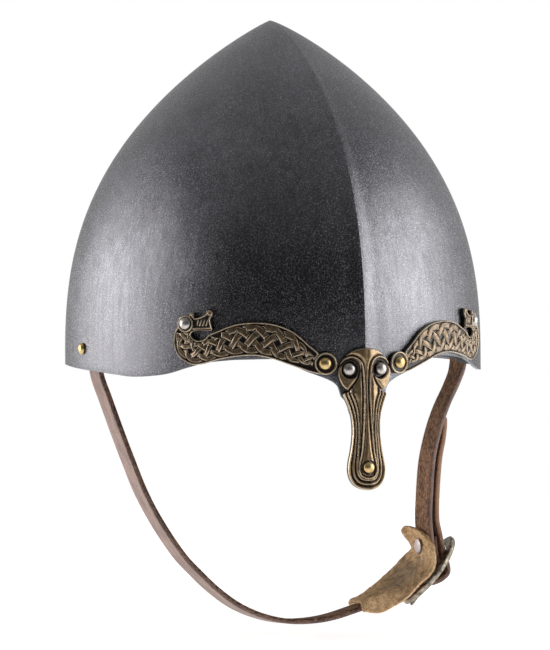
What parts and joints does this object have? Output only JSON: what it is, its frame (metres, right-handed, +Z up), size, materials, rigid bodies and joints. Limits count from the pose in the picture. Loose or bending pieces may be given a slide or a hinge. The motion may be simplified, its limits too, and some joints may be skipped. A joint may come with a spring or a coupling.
{
  "type": "nasal helmet",
  "caption": "Pointed steel helmet with a cast nose guard, brow ornaments with knotwork, a leather liner and a buckled leather chin strap.",
  "frame": {"origin": "middle of the head opening, in the level of the rim's lowest run at the back", "axes": "+Z up to the point of the skull, -Y to the front over the nose guard, +X to the wearer's left"},
  "size_m": [0.2028, 0.2421, 0.2915],
  "materials": {
    "steel": "oil-blackened steel, satin, lightly speckled and rubbed brighter in places",
    "aged_brass": "antique cast brass, dark in its hollows and bright on its edges",
    "bright_brass": "polished brass rivet, slightly dulled",
    "silver": "polished nickel-silver rivet",
    "dark_leather": "thin dark liner leather, matt and wrinkled",
    "strap_leather": "brown strap leather with a satin grain face and a rough flesh face",
    "suede": "tan suede, fuzzy, with darker worn patches"
  },
  "bodies": {
    "helmet": {"skull_right_half": "steel", "brow_ornament_right": "aged_brass", "nasal_eye_rivet_right": "silver", "brow_boss_rivet_right": "bright_brass", "dragon_eye_rivet_right": "silver", "liner_back_rivet_right": "bright_brass", "skull_left_half": "steel", "brow_ornament_left": "aged_brass", "nasal_eye_rivet_left": "silver", "brow_boss_rivet_left": "bright_brass", "dragon_eye_rivet_left": "silver", "liner_back_rivet_left": "bright_brass", "nose_plate": "aged_brass", "nose_tip_rivet": "bright_brass", "liner_band": "dark_leather", "liner_tongue_1": "dark_leather", "liner_tongue_2": "dark_leather", "liner_tongue_3": "dark_leather", "liner_tongue_4": "dark_leather", "liner_tongue_5": "dark_leather", "liner_tongue_6": "dark_leather", "liner_tongue_7": "dark_leather", "liner_tongue_8": "dark_leather", "crown_lace": "dark_leather", "strap_spacer_right": "dark_leather", "strap_burr_right": "bright_brass", "strap_rivet_right": "bright_brass", "strap_spacer_left": "dark_leather", "strap_burr_left": "bright_brass", "strap_rivet_left": "bright_brass"},
    "chin_strap": {"chin_strap_long": "strap_leather", "chin_strap_short": "strap_leather", "buckle_pad": "suede", "fold_rivet": "silver"},
    "buckle": {"buckle_frame": "aged_brass"},
    "prong": {"buckle_prong": "aged_brass"}
  },
  "joints": [
    {"name": "strap_swing", "type": "hinge", "parent": "helmet", "child": "chin_strap", "pos_m": [0, -0.016, 0.012], "axis": [-1, 0, 0], "range_deg": [-38, 44]},
    {"name": "buckle_swing", "type": "hinge", "parent": "chin_strap", "child": "buckle", "pos_m": [0.07, -0.03152, -0.09842], "axis": [0, -0.9903, 0.1392], "range_deg": [-4, 8]},
    {"name": "prong_swing", "type": "hinge", "parent": "buckle", "child": "prong", "pos_m": [0.07, -0.03152, -0.09842], "axis": [0, -0.9903, 0.1392], "range_deg": [0, 9]}
  ]
}
